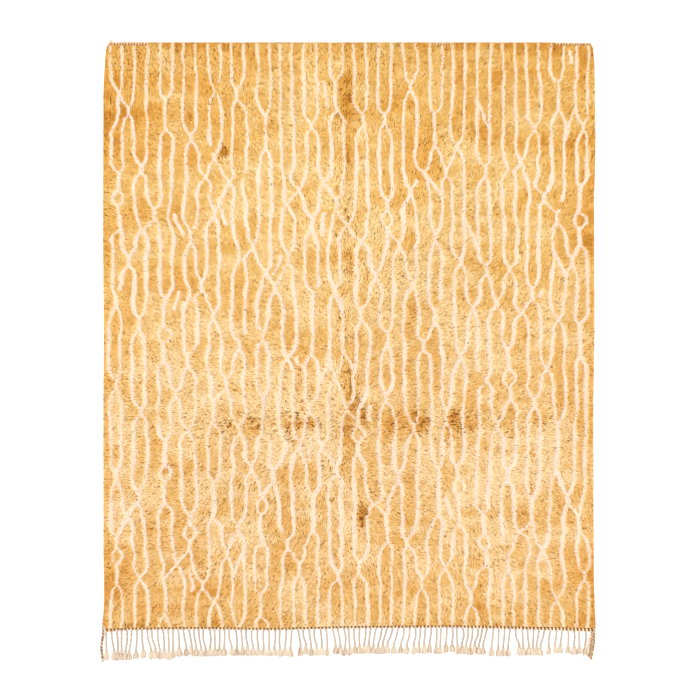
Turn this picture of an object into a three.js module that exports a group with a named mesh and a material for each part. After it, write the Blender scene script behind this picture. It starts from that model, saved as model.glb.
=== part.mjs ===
// A hand-knotted wool rug, laid flat with its pile up, in millimetres.
// +Y runs up the face to the closed end, the fringe lies at -Y, and the floor is z = 0.
// The origin is the middle of the woven field's underside.

import * as THREE from 'three';

// The woven field, from one twined end to the other
const WOVEN_WIDTH = 2500;
const WOVEN_LENGTH = 3000;
const PILE_TOP = 26.5;
const RIM_TOP = 20;
const LOCK_FOOT = 10.5;
const RIM_SHOULDER = 30;
const GRID_PITCH = 84;
const LONGEST_RIM_STEP = 60;
const CLEAR_OF_FOLD = 1.7;
const RIM_UNEVEN = 1;
const GAP = 0.4;

// The locks that hang over the rim
const LOCK_REACH = 9.5;
const LOCK_UNEVEN = 2.6;
const LOCK_DROOP = 3.5;

// Where the two sides run, as the rug lies
const LEFT_SIDE = [
  { y: -1500, x: -1257 },
  { y: -1400, x: -1254 },
  { y: -1300, x: -1251 },
  { y: -1100, x: -1254 },
  { y: -350, x: -1255 },
  { y: 0, x: -1252 },
  { y: 450, x: -1256 },
  { y: 1250, x: -1255 },
  { y: 1405, x: -1247 },
  { y: 1475, x: -1242 },
  { y: 1500, x: -1232 },
];
const RIGHT_SIDE = [
  { y: -1500, x: 1259 },
  { y: -1420, x: 1259 },
  { y: -1250, x: 1253 },
  { y: -600, x: 1250 },
  { y: -330, x: 1250 },
  { y: 0, x: 1256 },
  { y: 700, x: 1254 },
  { y: 950, x: 1261 },
  { y: 1250, x: 1259 },
  { y: 1405, x: 1255 },
  { y: 1470, x: 1249 },
  { y: 1500, x: 1237 },
];

// Where the foot of the lower twined band runs, and how wide the band is there
const FOOT_LINE = [
  { x: -1260, y: -1512, band: 16 },
  { x: -1115, y: -1502, band: 14 },
  { x: -750, y: -1498, band: 14 },
  { x: -400, y: -1504, band: 14 },
  { x: 0, y: -1493, band: 13 },
  { x: 520, y: -1490, band: 14 },
  { x: 770, y: -1496, band: 16 },
  { x: 1090, y: -1505, band: 19 },
  { x: 1260, y: -1512, band: 20 },
];

// Soft fold marks in the pile: the line that each follows and how far it reaches
const LENGTHWISE_FOLDS = [
  { at: -8, from: -1500, to: 1500, half: 38, deep: 4 },
];
const CROSSWISE_FOLDS = [
  { at: -430, from: -1260, to: 1260, half: 44, deep: 3.5 },
  { at: 1050, from: 60, to: 1260, half: 40, deep: 2 },
];

// Broad swells of the pile, as waves with a length across and along the rug
const SWELLS = [
  { across: 415, along: 690, high: 0.9, phase: 0.4 },
  { across: -265, along: 330, high: 0.8, phase: 2.1 },
  { across: 172, along: -236, high: 0.6, phase: 4 },
];
const VERTEX_UNEVEN = 0.8;

// The twined bands: a ridge for each pair of stitches
const STITCH_PAIR = 18.7;
const UPPER_RIDGE = 2 * STITCH_PAIR;
const LOWER_BAND_FOOT = 3.7;
const LOWER_BAND_TOP = 12;
const UPPER_BAND_WIDTH = 9;
const UPPER_BAND_TOP = 9;
const STITCH_DIP = 2.6;
const STITCH_SLANT = 3;
const STITCH_BULGE = 1;
const OUTER_SLOPE = 1.5;
const INNER_SLOPE = 1;
const LOWER_BAND_INSET = 0.5;
const UPPER_BAND_END = 8;

// The strip that holds the warp ends, under the lower band
const STRIP_TOP = LOWER_BAND_FOOT - GAP;
const STRIP_SET_BACK = 1.5;
const STRIP_END = 2;

// A strand's or cord's top is narrower than its base by this share
const TOP_SHARE = 0.62;

// The warp fringe: the roots along the band, and tips drawn together in bunches
const ROOTS = [
  { strand: 0, x: -1241 },
  { strand: 24, x: -609 },
  { strand: 48, x: 86 },
  { strand: 60, x: 422 },
  { strand: 72, x: 738 },
  { strand: 88, x: 1211 },
];
const STRAND_HALF = 4.2;
const STRAND_HIGH = 6.5;
const KNOT_HALF = 7.5;
const KNOT_HIGH = 12;
const TUFT_HALF = 13;
const TUFT_HIGH = 6;
const TUFT_LONG = 45;
const TIP_GAP = 1.2;
const BESIDE_TAIL = 18;
const TIP_LINE = -1497;
const STRAND_BOW = 4;
const BEND_SHARE = 0.42;
const KNOT_LONG = 9;
const TUFT_NECK = 0.75;
const END_UNEVEN = 3;
const BUNCHES = [
  { strands: 1, middle: -1238, pitch: 0, reach: 160 },
  { strands: 5, middle: -1161, pitch: 19.5, reach: 162 },
  { strands: 2, middle: -1069, pitch: 37, reach: 154 },
  { strands: 6, middle: -954, pitch: 22.4, reach: 155 },
  { strands: 2, middle: -848, pitch: 36, reach: 144 },
  { strands: 8, middle: -720, pitch: 23.8, reach: 142 },
  { strands: 12, middle: -448, pitch: 27.3, reach: 141 },
  { strands: 6, middle: -178, pitch: 27.3, reach: 139 },
  { strands: 4, middle: -31, pitch: 24, reach: 134 },
  { strands: 8, middle: 115, pitch: 23.8, reach: 129 },
  { strands: 1, middle: 231, pitch: 0, reach: 131 },
  { strands: 2, middle: 282, pitch: 31, reach: 131 },
  { strands: 3, middle: 359, pitch: 26.5, reach: 130 },
  { strands: 1, middle: 414, pitch: 0, reach: 123 },
  { strands: 2, middle: 458, pitch: 21, reach: 126 },
  { strands: 1, middle: 497, pitch: 0, reach: 123 },
  { strands: 1, middle: 528, pitch: 0, reach: 121 },
  { strands: 7, middle: 622, pitch: 21.9, reach: 132 },
  { strands: 1, middle: 730, pitch: 0, reach: 138 },
  { strands: 3, middle: 790, pitch: 25, reach: 142 },
  { strands: 2, middle: 882, pitch: 21, reach: 137 },
  { strands: 4, middle: 951, pitch: 20, reach: 138 },
  { strands: 1, middle: 1023, pitch: 0, reach: 130 },
  { strands: 2, middle: 1069, pitch: 28, reach: 127 },
  { strands: 1, middle: 1122, pitch: 0, reach: 126 },
  { strands: 3, middle: 1180, pitch: 28, reach: 133 },
];

// The side cords, and the loose tails in which they and the twining end
const SELVEDGE_WIDE = LOCK_REACH - 1;
const SELVEDGE_HIGH = 9;
const TAIL_HALF = 5.6;
const TAIL_HIGH = 10;
const LEFT_TAIL = [
  { x: -1255, y: -1518, half: 4.6, high: 9 },
  { x: -1259, y: -1548, half: TAIL_HALF, high: TAIL_HIGH },
  { x: -1264, y: -1585, half: TAIL_HALF, high: TAIL_HIGH },
  { x: -1262, y: -1622, half: TAIL_HALF, high: TAIL_HIGH },
  { x: -1259, y: -1638, half: 8, high: 13 },
  { x: -1258, y: -1646, half: 7, high: 9 },
  { x: -1259, y: -1671, half: 10, high: 6 },
];
const RIGHT_TAIL = [
  { x: 1255, y: -1522, half: 5, high: 9 },
  { x: 1255, y: -1555, half: TAIL_HALF, high: TAIL_HIGH },
  { x: 1250, y: -1590, half: TAIL_HALF, high: TAIL_HIGH },
  { x: 1245, y: -1622, half: TAIL_HALF, high: TAIL_HIGH },
  { x: 1239, y: -1642, half: 8, high: 13 },
  { x: 1240, y: -1648, half: 6, high: 9 },
  { x: 1244, y: -1661, half: 6, high: 6 },
];
const TWINING_TAIL = [
  { x: 1239, y: -1512.5, half: 4, high: 8 },
  { x: 1238, y: -1550, half: TAIL_HALF, high: TAIL_HIGH },
  { x: 1233, y: -1590, half: TAIL_HALF, high: TAIL_HIGH },
  { x: 1226, y: -1622, half: TAIL_HALF, high: TAIL_HIGH },
  { x: 1219, y: -1640, half: 6, high: 6 },
];
const TAIL_PLY = 14;
const PLY_PINCH = 0.78;

const COLOURS = {
  pile: new THREE.Color(0.86, 0.58, 0.26),
  warp: new THREE.Color(0.8, 0.68, 0.5),
  twining: new THREE.Color(0.5, 0.34, 0.18),
};

// A number from 0 to 1 that looks random and is the same each time
function uneven(index, salt) {
  const wave = Math.sin(index * 12.9898 + salt * 78.233) * 43758.5453;
  return wave - Math.floor(wave);
}

function between(low, high, share) {
  return low + (high - low) * share;
}

// Reads one column of a table at a place along another, straight between its rows
function along(table, key, column, place) {
  let after = table.findIndex((row) => row[key] >= place);
  if (after < 0) {
    after = table.length - 1;
  }
  const next = table[Math.max(after, 1)];
  const last = table[Math.max(after, 1) - 1];
  const share = (place - last[key]) / (next[key] - last[key]);
  return between(last[column], next[column], share);
}

// Gathers points and faces into one closed body
class Body {
  constructor() {
    this.places = [];
    this.corners = [];
  }

  point(x, y, z) {
    this.places.push(x, y, z);
    return this.places.length / 3 - 1;
  }

  face(a, b, c) {
    this.corners.push(a, b, c);
  }

  quad(a, b, c, d) {
    this.face(a, b, c);
    this.face(a, c, d);
  }

  // Faces round the first point of an outline that runs anticlockwise
  fan(outline) {
    for (let k = 1; k + 1 < outline.length; k += 1) {
      this.face(outline[0], outline[k], outline[k + 1]);
    }
  }

  // Joins two rings of points, the second further along the run
  sleeve(near, far) {
    near.forEach((corner, k) => {
      const next = (k + 1) % near.length;
      this.quad(corner, near[next], far[next], far[k]);
    });
  }

  mesh(name, colour, roughness) {
    const geometry = new THREE.BufferGeometry();
    geometry.setAttribute('position', new THREE.Float32BufferAttribute(this.places, 3));
    geometry.setIndex(this.corners);
    geometry.computeVertexNormals();
    const material = new THREE.MeshStandardMaterial({ color: colour, roughness, metalness: 0 });
    const mesh = new THREE.Mesh(geometry, material);
    mesh.name = name;
    return mesh;
  }
}

// The grid of the pile's face: even lines, a line at each shoulder and three at each fold
function gridLines(half, folds) {
  const cells = Math.round((2 * half) / GRID_PITCH);
  const inner = [];
  for (let k = 1; k < cells; k += 1) {
    inner.push(between(-half, half, k / cells));
  }
  const isClear = (line) => folds.every((fold) => Math.abs(line - fold.at) > CLEAR_OF_FOLD * fold.half);
  const clear = inner.filter(isClear);
  const marks = folds.flatMap((fold) => [fold.at - fold.half, fold.at, fold.at + fold.half]);
  const shoulders = [RIM_SHOULDER - half, half - RIM_SHOULDER];
  return [-half, half, ...shoulders, ...clear, ...marks].sort((a, b) => a - b);
}

// Adds the middle of each long step between grid lines
function withMiddles(lines) {
  const fine = [];
  lines.forEach((line, k) => {
    fine.push({ line, ends: [line, line], coarse: k });
    const next = lines[k + 1];
    if (next - line > LONGEST_RIM_STEP) {
      fine.push({ line: (line + next) / 2, ends: [line, next], coarse: null });
    }
  });
  return fine;
}

const COLUMNS = gridLines(WOVEN_WIDTH / 2, LENGTHWISE_FOLDS);
const ROWS = gridLines(WOVEN_LENGTH / 2, CROSSWISE_FOLDS);

const SLAB_TOP = WOVEN_LENGTH / 2 - UPPER_BAND_WIDTH - GAP;

// Puts a place of the even grid on the rug as it lies
function laid(column, row) {
  const left = along(LEFT_SIDE, 'y', 'x', row) + LOCK_REACH;
  const right = along(RIGHT_SIDE, 'y', 'x', row) - LOCK_REACH;
  const foot = along(FOOT_LINE, 'x', 'y', column) + along(FOOT_LINE, 'x', 'band', column) + GAP;
  return {
    x: between(left, right, (column + WOVEN_WIDTH / 2) / WOVEN_WIDTH),
    y: between(foot, SLAB_TOP, (row + WOVEN_LENGTH / 2) / WOVEN_LENGTH),
  };
}

// The slab's edges are straight between grid lines, so what lies along them stays parallel
const SLAB_FOOT = COLUMNS.map((column) => laid(column, ROWS[0]));
const LEFT_WALL = ROWS.map((row) => laid(COLUMNS[0], row));
const RIGHT_WALL = ROWS.map((row) => laid(COLUMNS.at(-1), row));

function foldDepth(folds, place, other) {
  return folds.reduce((deep, fold) => {
    const reached = other >= fold.from && other <= fold.to;
    const near = Math.max(0, 1 - Math.abs(place - fold.at) / fold.half);
    return deep + (reached ? fold.deep * near : 0);
  }, 0);
}

function pileHeight(column, row) {
  const swell = SWELLS.reduce((sum, wave) => {
    const turn = 2 * Math.PI * (column / wave.across + row / wave.along) + wave.phase;
    return sum + wave.high * Math.sin(turn);
  }, 0);
  const tuft = VERTEX_UNEVEN * (2 * uneven(column, row) - 1);
  const lengthwise = foldDepth(LENGTHWISE_FOLDS, column, row);
  const crosswise = foldDepth(CROSSWISE_FOLDS, row, column);
  return PILE_TOP + swell + tuft - Math.max(lengthwise, crosswise);
}

// The rim's places in order, anticlockwise seen from above
function rimPlaces() {
  const across = withMiddles(COLUMNS);
  const up = withMiddles(ROWS);
  const acrossAt = (row, j, side) => (place) => {
    const [one, two] = place.ends.map((column) => laid(column, row));
    return { one, two, side, i: place.coarse, j, column: place.line, row };
  };
  const upAt = (column, i, side) => (place) => {
    const [one, two] = place.ends.map((row) => laid(column, row));
    return { one, two, side, i, j: place.coarse, column, row: place.line };
  };
  return [
    ...across.slice(0, -1).map(acrossAt(ROWS[0], 0, 'foot')),
    ...up.slice(0, -1).map(upAt(COLUMNS.at(-1), COLUMNS.length - 1, 'right')),
    ...across.slice(1).reverse().map(acrossAt(ROWS.at(-1), ROWS.length - 1, 'top')),
    ...up.slice(1).reverse().map(upAt(COLUMNS[0], 0, 'left')),
  ];
}

// The wall between two rim places: plain at the foot, a hanging lock elsewhere
function rimWall(body, here, next, index) {
  body.quad(here.low, next.low, next.mid, here.mid);
  if (here.side === 'foot') {
    body.quad(here.mid, next.mid, next.high, here.high);
    return;
  }
  const run = new THREE.Vector2(next.x - here.x, next.y - here.y);
  const out = new THREE.Vector2(run.y, -run.x).normalize();
  const reach = LOCK_REACH - LOCK_UNEVEN * uneven(index, 1);
  const slide = between(0.3, 0.7, uneven(index, 2));
  const tip = body.point(
    here.x + run.x * slide + out.x * reach,
    here.y + run.y * slide + out.y * reach,
    LOCK_FOOT + LOCK_DROOP * uneven(index, 3),
  );
  body.face(here.mid, next.mid, tip);
  body.face(next.mid, next.high, tip);
  body.face(next.high, here.high, tip);
  body.face(here.high, here.mid, tip);
}

// The woven field with its pile
function pileField() {
  const body = new Body();
  const rim = rimPlaces().map((place) => {
    const x = (place.one.x + place.two.x) / 2;
    const y = (place.one.y + place.two.y) / 2;
    const low = body.point(x, y, 0);
    const mid = body.point(x, y, LOCK_FOOT);
    const high = body.point(x, y, RIM_TOP + RIM_UNEVEN * (2 * uneven(place.column, place.row) - 1));
    return { ...place, x, y, low, mid, high };
  });
  rim.forEach((here, k) => rimWall(body, here, rim[(k + 1) % rim.length], k));

  const face = COLUMNS.map((column, i) => ROWS.map((row, j) => {
    const inside = i > 0 && j > 0 && i < COLUMNS.length - 1 && j < ROWS.length - 1;
    if (!inside) {
      return rim.find((place) => place.i === i && place.j === j).high;
    }
    const { x, y } = laid(column, row);
    return body.point(x, y, pileHeight(column, row));
  }));
  const middle = (side, low, high, key) => rim
    .filter((place) => place.side === side && place[key] > low && place[key] < high)
    .map((place) => place.high);

  for (let i = 0; i + 1 < COLUMNS.length; i += 1) {
    for (let j = 0; j + 1 < ROWS.length; j += 1) {
      const outline = [face[i][j]];
      outline.push(...(j === 0 ? middle('foot', COLUMNS[i], COLUMNS[i + 1], 'column') : []));
      outline.push(face[i + 1][j]);
      outline.push(...(i === COLUMNS.length - 2 ? middle('right', ROWS[j], ROWS[j + 1], 'row') : []));
      outline.push(face[i + 1][j + 1]);
      outline.push(...(j === ROWS.length - 2 ? middle('top', COLUMNS[i], COLUMNS[i + 1], 'column') : []));
      outline.push(face[i][j + 1]);
      outline.push(...(i === 0 ? middle('left', ROWS[j], ROWS[j + 1], 'row') : []));
      // The fan starts at a corner that isn't on the rim
      const inner = face[i === 0 ? 1 : i][j === 0 ? 1 : j];
      const start = outline.indexOf(inner);
      body.fan([...outline.slice(start), ...outline.slice(0, start)]);
    }
  }

  const underside = rim.map((place) => new THREE.Vector2(place.x, place.y));
  THREE.ShapeUtils.triangulateShape(underside, []).forEach(([a, b, c]) => {
    body.face(rim[c].low, rim[b].low, rim[a].low);
  });
  return body.mesh('pile_field', COLOURS.pile, 0.95);
}

// A row of slanted ridges, from its left end to its right, between an inner and an outer edge
function twinedBand(name, left, right, ridge, foot, top, inner, outer) {
  const body = new Body();
  const steps = 2 * Math.round((right - left) / ridge);
  let ring = null;
  for (let k = 0; k <= steps; k += 1) {
    const x = between(left, right, k / steps);
    const valley = k % 2 === 0;
    const high = top - (valley ? STITCH_DIP : 0);
    const bulge = valley ? STITCH_BULGE : 0;
    const lean = k === 0 || k === steps ? 0 : STITCH_SLANT;
    const [near, far] = [inner(x), outer(x)];
    const inward = Math.sign(near - far);
    const corners = [
      [x, near, foot],
      [x, far + inward * bulge, foot],
      [x + lean, far + inward * (bulge + OUTER_SLOPE), high],
      [x - lean, near - inward * INNER_SLOPE, high],
    ];
    const next = corners.map(([px, py, pz]) => body.point(px, py, pz));
    if (inward > 0) {
      next.reverse();
    }
    if (ring) {
      body.sleeve(ring, next);
    } else {
      body.fan([...next].reverse());
    }
    ring = next;
  }
  body.fan(ring);
  return body.mesh(name, COLOURS.twining, 0.9);
}

function footEdge(x) {
  return along(SLAB_FOOT, 'x', 'y', x) - GAP;
}

function bandFoot(x) {
  return footEdge(x) - along(FOOT_LINE, 'x', 'band', x);
}

// A ring of a strand that lies on the floor: a flat base and a narrower top
function layRing(body, x, y, half, high) {
  return [
    body.point(x - half, y, 0),
    body.point(x + half, y, 0),
    body.point(x + TOP_SHARE * half, y, high),
    body.point(x - TOP_SHARE * half, y, high),
  ];
}

// Every strand's root, the place and reach of its tip, and the width it has there
function fringeStrands() {
  const strands = [];
  BUNCHES.forEach((bunch) => {
    const first = strands.length;
    for (let k = 0; k < bunch.strands; k += 1) {
      const index = first + k;
      strands.push({
        root: along(ROOTS, 'strand', 'x', index),
        tip: bunch.middle + (k - (bunch.strands - 1) / 2) * bunch.pitch,
        end: TIP_LINE - bunch.reach + END_UNEVEN * (2 * uneven(index, 4) - 1),
        bow: STRAND_BOW * (2 * uneven(index, 5) - 1),
      });
    }
  });
  strands.forEach((strand, k) => {
    const before = k > 0 ? strand.tip - strands[k - 1].tip : BESIDE_TAIL;
    const after = k + 1 < strands.length ? strands[k + 1].tip - strand.tip : BESIDE_TAIL;
    strand.room = (Math.min(before, after) - TIP_GAP) / 2;
  });
  return strands;
}

// One strand from its root ring in the strip to the end of its tuft
function strandBody(body, strand, rootRing) {
  const start = bandFoot(strand.root) + STRIP_SET_BACK;
  const knot = strand.end + TUFT_LONG;
  const tuft = Math.min(TUFT_HALF, strand.room);
  const knotHalf = Math.min(KNOT_HALF, strand.room);
  const bend = between(start, knot, 0.5);
  const bendX = between(strand.root, strand.tip, BEND_SHARE) + strand.bow;
  const nearKnot = knot + KNOT_LONG;
  const rings = [
    rootRing,
    layRing(body, bendX, bend, STRAND_HALF, STRAND_HIGH),
    layRing(body, between(bendX, strand.tip, 0.88), nearKnot, STRAND_HALF, STRAND_HIGH),
    layRing(body, strand.tip, knot, knotHalf, KNOT_HIGH),
    layRing(body, strand.tip, knot - KNOT_LONG, Math.min(TUFT_NECK * tuft, knotHalf), TUFT_HIGH + 2),
    layRing(body, strand.tip, strand.end, tuft, TUFT_HIGH),
  ];
  for (let k = 0; k + 1 < rings.length; k += 1) {
    body.sleeve(rings[k], rings[k + 1]);
  }
  body.fan(rings.at(-1));
}

// The strip under the lower band with the strands that grow from it
function warpFringe() {
  const body = new Body();
  const strands = fringeStrands();
  const edges = strands.flatMap((strand) => [strand.root - STRAND_HALF, strand.root + STRAND_HALF]);
  const stations = [edges[0] - STRIP_END, ...edges, edges.at(-1) + STRIP_END];
  const posts = stations.map((x) => {
    const [inner, outer] = [footEdge(x), bandFoot(x) + STRIP_SET_BACK];
    return {
      outerLow: body.point(x, outer, 0),
      outerHigh: body.point(x, outer, STRIP_TOP),
      innerLow: body.point(x, inner, 0),
      innerHigh: body.point(x, inner, STRIP_TOP),
    };
  });
  posts.slice(0, -1).forEach((here, k) => {
    const next = posts[k + 1];
    body.quad(here.outerHigh, next.outerHigh, next.innerHigh, here.innerHigh);
    body.quad(here.innerLow, next.innerLow, next.outerLow, here.outerLow);
    body.quad(here.innerHigh, next.innerHigh, next.innerLow, here.innerLow);
    const isRoot = k % 2 === 1;
    if (isRoot) {
      const rootRing = [here.outerLow, next.outerLow, next.outerHigh, here.outerHigh];
      strandBody(body, strands[(k - 1) / 2], rootRing);
    } else {
      body.quad(here.outerLow, next.outerLow, next.outerHigh, here.outerHigh);
    }
  });
  const [first, last] = [posts[0], posts.at(-1)];
  body.quad(first.innerLow, first.outerLow, first.outerHigh, first.innerHigh);
  body.quad(last.outerLow, last.innerLow, last.innerHigh, last.outerHigh);
  return body.mesh('warp_fringe', COLOURS.warp, 0.9);
}

// Adds the turns of the ply between the rows of a tail, up to its knot
function plied(tail, rows) {
  const turned = [];
  tail.forEach((row, k) => {
    turned.push(row);
    if (k + 1 >= rows) {
      return;
    }
    const next = tail[k + 1];
    const turns = Math.round((row.y - next.y) / TAIL_PLY);
    for (let t = 1; t < turns; t += 1) {
      const share = t / turns;
      const pinch = t % 2 === 1 ? PLY_PINCH : 1;
      turned.push({
        x: between(row.x, next.x, share),
        y: between(row.y, next.y, share),
        half: between(row.half, next.half, share) * pinch,
        high: between(row.high, next.high, share) * pinch,
      });
    }
  });
  return turned;
}

// A cord on the floor that runs towards -Y through the rows given
function laidCord(name, rows) {
  const body = new Body();
  let ring = null;
  rows.forEach((row) => {
    const next = layRing(body, row.x, row.y, row.half, row.high);
    if (ring) {
      body.sleeve(ring, next);
    } else {
      body.fan([...next].reverse());
    }
    ring = next;
  });
  body.fan(ring);
  return body.mesh(name, COLOURS.twining, 0.9);
}

// The cord along one side, in the room under the locks, with its tail
function selvedge(name, wall, outward, tail) {
  const side = [...wall].reverse().map((place) => ({
    x: place.x + outward * (GAP + SELVEDGE_WIDE / 2),
    y: place.y,
    half: SELVEDGE_WIDE / 2,
    high: SELVEDGE_HIGH,
  }));
  const knotRow = tail.length - 3;
  return laidCord(name, [...side, ...plied(tail, knotRow)]);
}

const lowerLeft = LEFT_WALL[0].x + LOWER_BAND_INSET;
const lowerRight = RIGHT_WALL[0].x - LOWER_BAND_INSET;
const upperLeft = LEFT_WALL.at(-1).x - UPPER_BAND_END;
const upperRight = RIGHT_WALL.at(-1).x + UPPER_BAND_END;

const rug = new THREE.Group();
rug.add(pileField());
rug.add(warpFringe());
rug.add(twinedBand(
  'twined_band_lower',
  lowerLeft,
  lowerRight,
  STITCH_PAIR,
  LOWER_BAND_FOOT,
  LOWER_BAND_TOP,
  footEdge,
  bandFoot,
));
rug.add(twinedBand(
  'twined_band_upper',
  upperLeft,
  upperRight,
  UPPER_RIDGE,
  0,
  UPPER_BAND_TOP,
  () => SLAB_TOP + GAP,
  () => WOVEN_LENGTH / 2,
));
rug.add(selvedge('selvedge_left', LEFT_WALL, -1, LEFT_TAIL));
rug.add(selvedge('selvedge_right', RIGHT_WALL, 1, RIGHT_TAIL));
rug.add(laidCord('twining_tail', plied(TWINING_TAIL, TWINING_TAIL.length - 1)));

export default rug;
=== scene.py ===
"""A hand-knotted wool rug on a pale floor, seen from straight above. Lengths are in metres.

+Y runs up the face to the closed end, and the fringe lies at -Y. The rug is dressed over the
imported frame: a thin ground cloth, the pile as leaning locks of wool, the twined ends, the
side cords and the knotted fringe.
"""

import bpy
import numpy as np
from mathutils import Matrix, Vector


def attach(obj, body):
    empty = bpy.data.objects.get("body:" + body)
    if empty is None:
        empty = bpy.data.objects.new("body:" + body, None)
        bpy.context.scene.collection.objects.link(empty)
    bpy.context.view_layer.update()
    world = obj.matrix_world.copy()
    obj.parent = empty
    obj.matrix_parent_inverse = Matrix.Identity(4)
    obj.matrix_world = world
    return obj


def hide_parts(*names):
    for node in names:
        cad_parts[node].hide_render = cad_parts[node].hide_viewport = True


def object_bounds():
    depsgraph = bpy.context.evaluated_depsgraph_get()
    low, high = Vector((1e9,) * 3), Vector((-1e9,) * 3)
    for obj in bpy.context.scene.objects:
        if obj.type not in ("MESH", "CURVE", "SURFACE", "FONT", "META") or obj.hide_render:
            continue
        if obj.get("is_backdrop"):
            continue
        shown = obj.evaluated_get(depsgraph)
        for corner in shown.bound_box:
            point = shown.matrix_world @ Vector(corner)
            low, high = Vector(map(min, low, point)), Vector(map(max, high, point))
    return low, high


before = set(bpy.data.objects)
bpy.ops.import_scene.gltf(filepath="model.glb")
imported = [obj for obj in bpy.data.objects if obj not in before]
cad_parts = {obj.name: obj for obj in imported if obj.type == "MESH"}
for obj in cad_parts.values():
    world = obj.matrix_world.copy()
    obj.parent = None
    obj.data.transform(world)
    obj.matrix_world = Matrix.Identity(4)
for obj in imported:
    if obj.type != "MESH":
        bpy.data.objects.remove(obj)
CAD_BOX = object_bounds()

SEED = 20
NOISE_CELLS = 64
NOISE_SHIFT = 1000.0


def draws(k):
    """A stream of random draws of its own for each number k."""
    return np.random.default_rng(SEED + k)


# Sizes of the woven field, as the frame has them
HALF_WIDTH = 1.25
HALF_LENGTH = 1.5
UPPER_BAND_FOOT = HALF_LENGTH - 0.009
GAP = 0.0004
PILE_TOP = 0.0265
CLOTH_THICK = 0.0035
BED_DEPTH = 0.0085
# Painted shade: the bed of the pile is coloured darker, as the shade between the locks
BED_PAINTED_SHADE = np.array([0.66, 0.5, 0.32])
LOCK_REACH = 0.0095

# Where the two sides run, as the rug lies: y, x
LEFT_SIDE = [
    (-1.5, -1.257), (-1.4, -1.254), (-1.3, -1.251), (-1.1, -1.254), (-0.35, -1.255), (0, -1.252),
    (0.45, -1.256), (1.25, -1.255), (1.405, -1.247), (1.455, -1.243), (1.478, -1.236),
    (1.5, -1.224),
]
RIGHT_SIDE = [
    (-1.5, 1.259), (-1.42, 1.259), (-1.25, 1.253), (-0.6, 1.25), (-0.33, 1.25), (0, 1.256),
    (0.7, 1.254), (0.95, 1.261), (1.25, 1.259), (1.405, 1.255), (1.47, 1.249), (1.5, 1.237),
]

# The foot of the lower twined band: x, y, width of the band
FOOT_LINE = [
    (-1.26, -1.512, 0.016), (-1.115, -1.502, 0.014), (-0.75, -1.498, 0.014),
    (-0.4, -1.504, 0.014), (0, -1.493, 0.013), (0.52, -1.49, 0.014), (0.77, -1.496, 0.016),
    (1.09, -1.505, 0.019), (1.26, -1.512, 0.02),
]

# Fold marks: the line, where it starts and ends across, half its width and its depth
LENGTHWISE_FOLDS = [(-0.008, -1.5, 1.5, 0.038, 0.004)]
CROSSWISE_FOLDS = [(-0.43, -1.26, 1.26, 0.044, 0.0035), (1.05, 0.06, 1.26, 0.04, 0.002)]

# Broad swells of the pile: wavelength across, wavelength along, height, phase
SWELLS = [
    (0.415, 0.69, 0.0009, 0.4), (-0.265, 0.33, 0.0008, 2.1), (0.172, -0.236, 0.0006, 4.0),
]


def along(table, place, k=1):
    """One column of a table at a place along its first column."""
    return np.interp(place, [row[0] for row in table], [row[k] for row in table])


def left_side(y):
    return along(LEFT_SIDE, y)


def right_side(y):
    return along(RIGHT_SIDE, y)


def band_foot(x):
    return along(FOOT_LINE, x)


def band_head(x):
    return band_foot(x) + along(FOOT_LINE, x, 2)


def from_end(y):
    return np.minimum(HALF_LENGTH - y, y + HALF_LENGTH)


def soft_step(x):
    x = np.clip(x, 0, 1)
    return x * x * (3 - 2 * x)


def noise(x, y, size, k):
    """Values from 0 to 1 that change smoothly over about size metres."""
    table = draws(k).random((NOISE_CELLS, NOISE_CELLS))
    u = np.asarray(x, float) / size + NOISE_SHIFT
    v = np.asarray(y, float) / size + NOISE_SHIFT
    i, j = np.floor(u).astype(int), np.floor(v).astype(int)
    f, g = soft_step(u - i), soft_step(v - j)
    left, right = i % NOISE_CELLS, (i + 1) % NOISE_CELLS
    foot, head = j % NOISE_CELLS, (j + 1) % NOISE_CELLS
    low = table[left, foot] * (1 - f) + table[right, foot] * f
    high = table[left, head] * (1 - f) + table[right, head] * f
    return low * (1 - g) + high * g


def fold_depth(folds, place, other):
    deep = np.zeros(np.shape(place))
    for at, start, end, half, depth in folds:
        near = np.clip(1 - np.abs(place - at) / half, 0, 1)
        deep = deep + depth * near * ((other >= start) & (other <= end))
    return deep


def pile_height(x, y):
    """The top of the pile, as in the frame: swells, less the troughs of the folds."""
    height = np.full(np.shape(x), PILE_TOP)
    for across, length, high, phase in SWELLS:
        height = height + high * np.sin(2 * np.pi * (x / across + y / length) + phase)
    lengthwise = fold_depth(LENGTHWISE_FOLDS, x, y)
    crosswise = fold_depth(CROSSWISE_FOLDS, y, x)
    return height - np.maximum(lengthwise, crosswise)


# Colours

def linear(red, green, blue):
    """A colour given as display values from 0 to 255."""
    value = np.array([red, green, blue]) / 255
    return np.where(value <= 0.04045, value / 12.92, ((value + 0.055) / 1.055) ** 2.4)


PALE_HONEY = linear(251, 214, 152)
HONEY = linear(244, 196, 118)
OCHRE = linear(236, 172, 80)
DEEP_OCHRE = linear(210, 138, 50)
CREAM = linear(249, 224, 201)
RIM_CREAM = linear(246, 216, 178)
ROSY = np.array([1.02, 1.08, 1.27])
GOLDEN = np.array([1.0, 1.03, 0.95])
WARP_CREAM = linear(243, 223, 198)
CORD_CREAM = linear(222, 203, 184)
THREAD_CREAM = linear(244, 218, 186)
BROWN = linear(150, 90, 34)
DARK_BROWN = linear(136, 80, 24)
TAIL_BROWN = linear(192, 132, 62)
TWINE_CREAM = linear(252, 226, 182)
# Painted shadow: locks coloured this brown stand for the shade deep in the pile's partings
PARTING_SHADOW_BROWN = linear(132, 64, 8)


def mixed(one, two, share):
    share = np.asarray(share, float)[..., None]
    return one * (1 - share) + two * share


# The figure: columns of lozenges whose two cream lines meet and part down the rug

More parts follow.
